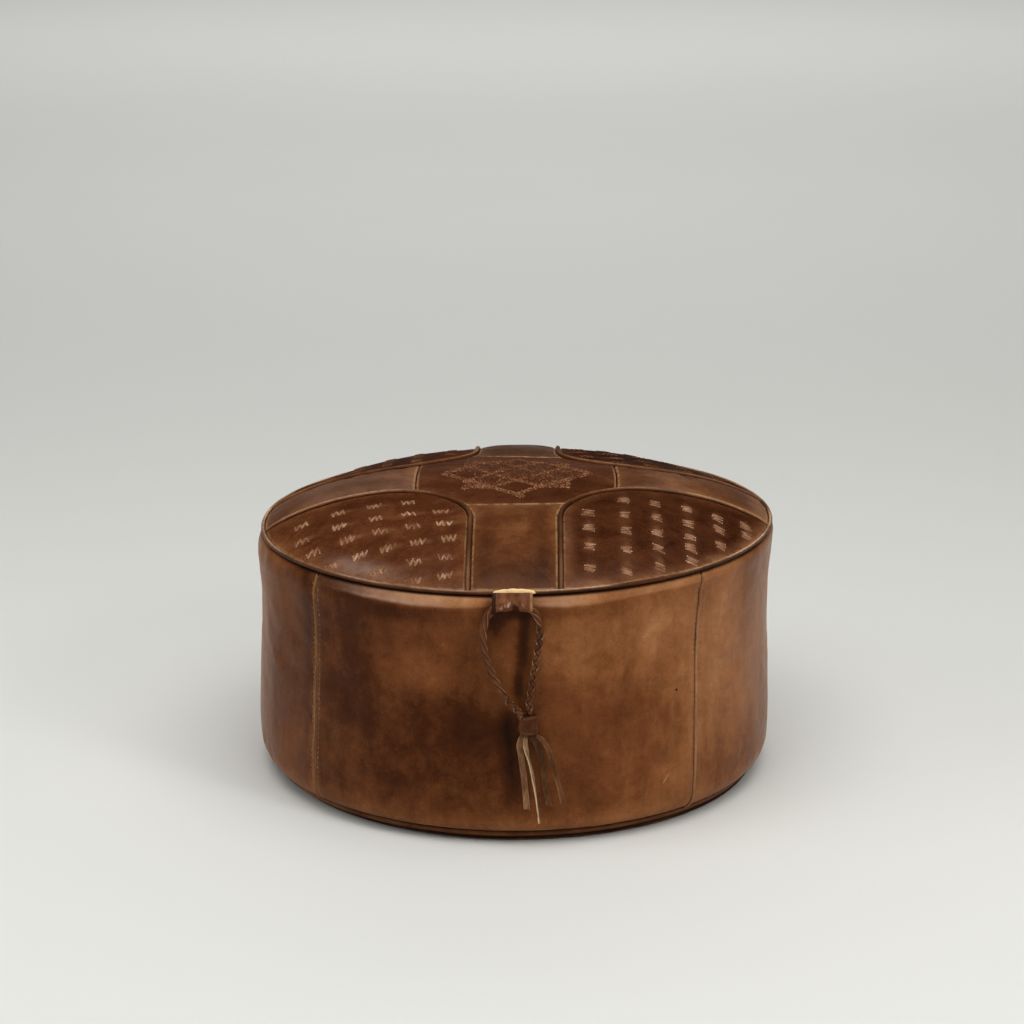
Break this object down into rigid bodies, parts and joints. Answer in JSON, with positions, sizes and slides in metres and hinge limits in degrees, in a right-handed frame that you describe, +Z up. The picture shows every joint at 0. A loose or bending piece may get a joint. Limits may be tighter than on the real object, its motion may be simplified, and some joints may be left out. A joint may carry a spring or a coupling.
{
  "type": "leather floor pouf",
  "caption": "Round stitched-leather floor pouf: panelled crowned top with piping and embroidery, seamed drum wall, zipped sole, soft filling and a braided hanging loop with tassel.",
  "frame": {"origin": "centre of the base, on the floor", "axes": "+Z up; the front with the hanging loop faces -Y; +X is to the right seen from the front"},
  "size_m": [0.53, 0.5417, 0.3037],
  "materials": {
    "leather_centre": "satin",
    "leather_top": "satin",
    "leather_petal": "satin",
    "leather_wall": "satin",
    "leather_piping": "satin",
    "leather_sole": "matte",
    "leather_braid": "matte",
    "leather_knot": "matte",
    "leather_raw": "matte",
    "leather_strip_tan": "matte",
    "leather_strip_dark": "matte",
    "liner_cotton": "matte",
    "filling_foam": "matte",
    "filling_wadding": "matte",
    "zip_tape": "matte",
    "zip_brass": "satin"
  },
  "bodies": {
    "pouf": {"base_piping": "leather_piping", "centre_panel": "leather_centre", "crown_wadding": "filling_wadding", "foam_core": "filling_foam", "liner_bag": "liner_cotton", "petal_front_left": "leather_petal", "petal_front_right": "leather_petal", "petal_piping_front_left": "leather_piping", "petal_piping_front_right": "leather_piping", "petal_piping_rear_left": "leather_piping", "petal_piping_rear_right": "leather_piping", "petal_rear_left": "leather_petal", "petal_rear_right": "leather_petal", "rim_fold": "leather_raw", "rim_piping": "leather_piping", "sole_front": "leather_sole", "sole_rear": "leather_sole", "top_strip_front": "leather_top", "top_strip_left": "leather_top", "top_strip_rear": "leather_top", "top_strip_right": "leather_top", "wall_panel_front": "leather_wall", "wall_panel_left": "leather_wall", "wall_panel_rear": "leather_wall", "wall_panel_right": "leather_wall", "wall_seam_front_left": "leather_piping", "wall_seam_front_right": "leather_piping", "wall_seam_rear_left": "leather_piping", "wall_seam_rear_right": "leather_piping", "zip_end_left": "leather_sole", "zip_end_right": "leather_sole", "zip_stop_left": "zip_brass", "zip_stop_right": "zip_brass", "zip_tape_front": "zip_tape", "zip_tape_rear": "zip_tape", "zip_teeth_front": "zip_brass", "zip_teeth_rear": "zip_brass"},
    "handle": {"handle_sleeve": "leather_braid", "handle_braid": "leather_braid", "handle_knot": "leather_knot"},
    "tassel": {"tassel_strip_a": "leather_strip_tan", "tassel_strip_b": "leather_raw", "tassel_strip_c": "leather_strip_dark", "tassel_strip_d": "leather_strip_dark"},
    "zip_slider": {"zip_slider": "zip_brass"},
    "zip_pull": {"zip_pull": "zip_brass"}
  },
  "joints": [
    {"name": "handle_swing", "type": "hinge", "parent": "pouf", "child": "handle", "pos_m": [0, -0.2657, 0.2552], "axis": [-1, 0, 0], "range_deg": [0, 140]},
    {"name": "tassel_swing", "type": "hinge", "parent": "handle", "child": "tassel", "pos_m": [0.0133, -0.2706, 0.1172], "axis": [-1, 0, 0], "range_deg": [0, 80]},
    {"name": "zip_slide", "type": "slide", "parent": "pouf", "child": "zip_slider", "axis": [-1, 0, 0], "range_m": [0, 0.272]},
    {"name": "zip_pull_swing", "type": "hinge", "parent": "zip_slider", "child": "zip_pull", "pos_m": [0.136, 0, 0.00255], "axis": [0, -1, 0], "range_deg": [0, 180]}
  ]
}
